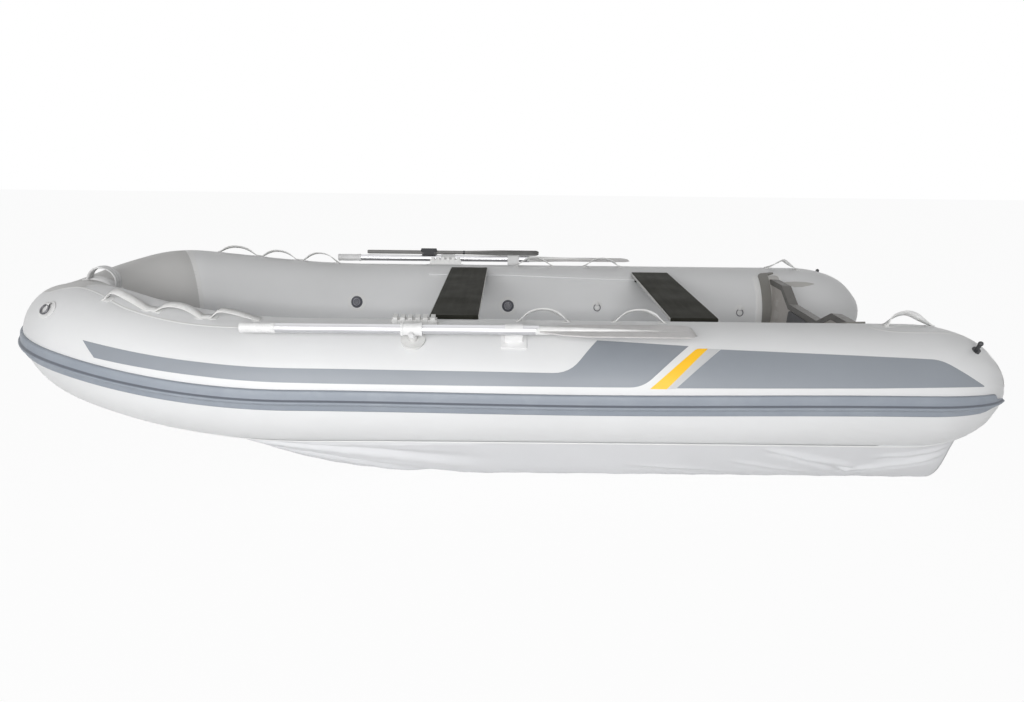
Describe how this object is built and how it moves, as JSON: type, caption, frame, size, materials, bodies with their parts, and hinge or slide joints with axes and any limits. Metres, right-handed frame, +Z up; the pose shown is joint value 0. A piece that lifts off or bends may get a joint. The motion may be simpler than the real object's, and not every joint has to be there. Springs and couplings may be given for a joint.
{
  "type": "inflatable boat with side tubes, fabric bottom and aluminium floor",
  "caption": "Open inflatable boat with raised bow tube, stern cones, transom for an outboard motor, two bench seats and stowed oars that swing on rowlocks.",
  "frame": {"origin": "on the ground under the middle of the boat, where its bottom stands", "axes": "+X to the bow, +Y to port, +Z up"},
  "size_m": [3.95, 1.772, 0.7442],
  "materials": {
    "tube_fabric": "coated polyester fabric, pale grey",
    "bottom_fabric": "coated fabric, cool white",
    "strake_grey": "blue-grey moulded strip",
    "seat_dark": "dark grained board",
    "pad_dark": "dark ribbed pad",
    "transom_panel": "light grey laminate on marine board",
    "trim_grey": "dark grey edge channel",
    "flange_fabric": "grey reinforced fabric",
    "aluminium": "anodised aluminium",
    "blade_plastic": "warm grey moulded blade",
    "paddle_grey": "dark grey plastic",
    "dark_plastic": "dark moulding",
    "webbing": "pale webbing",
    "ring_steel": "stainless ring on a pale patch",
    "white_plastic": "white moulding"
  },
  "bodies": {
    "hull": {"bow_handle": "white_plastic", "bow_tube": "tube_fabric", "fabric_bottom": "bottom_fabric", "floor_joint_bars": "aluminium", "floor_panel_bow": "aluminium", "floor_panel_fore": "aluminium", "floor_panel_middle": "aluminium", "floor_panel_stern": "aluminium", "front_seat": "seat_dark", "inner_motor_pad": "pad_dark", "outer_motor_pad": "pad_dark", "port_floor_stringer": "aluminium", "port_grab_straps": "webbing", "port_inner_eyes": "ring_steel", "port_oar_clip": "white_plastic", "port_rowlock_base": "white_plastic", "port_rubbing_strake": "strake_grey", "port_seat_rail": "webbing", "port_side_tube": "tube_fabric", "port_stern_cone": "tube_fabric", "port_stern_pin": "dark_plastic", "port_tow_ring": "ring_steel", "port_transom_flange": "flange_fabric", "port_valves": "dark_plastic", "rear_seat": "seat_dark", "starboard_floor_stringer": "aluminium", "starboard_grab_straps": "webbing", "starboard_inner_eyes": "ring_steel", "starboard_oar_clip": "white_plastic", "starboard_rowlock_base": "white_plastic", "starboard_rubbing_strake": "strake_grey", "starboard_seat_rail": "webbing", "starboard_side_tube": "tube_fabric", "starboard_stern_cone": "tube_fabric", "starboard_stern_pin": "dark_plastic", "starboard_tow_ring": "ring_steel", "starboard_transom_flange": "flange_fabric", "starboard_valves": "dark_plastic", "transom_board": "transom_panel", "transom_drain_plug": "dark_plastic", "transom_edge_trim": "trim_grey"},
    "port_oar": {"port_rowlock": "white_plastic", "port_oar_shaft": "aluminium", "port_oar_grip": "white_plastic", "port_oar_blade": "blade_plastic"},
    "starboard_oar": {"starboard_rowlock": "white_plastic", "starboard_oar_shaft": "aluminium", "starboard_oar_grip": "white_plastic", "starboard_oar_blade": "blade_plastic", "spare_paddle": "paddle_grey", "paddle_clip": "dark_plastic"}
  },
  "joints": [
    {"name": "port_oar_swing", "type": "hinge", "parent": "hull", "child": "port_oar", "pos_m": [0.242, 0.76983, 0.62772], "axis": [0, 0.5592, 0.829], "range_deg": [-120, 0]},
    {"name": "starboard_oar_swing", "type": "hinge", "parent": "hull", "child": "starboard_oar", "pos_m": [0.242, -0.76983, 0.62772], "axis": [0, -0.5592, 0.829], "range_deg": [0, 120]}
  ]
}
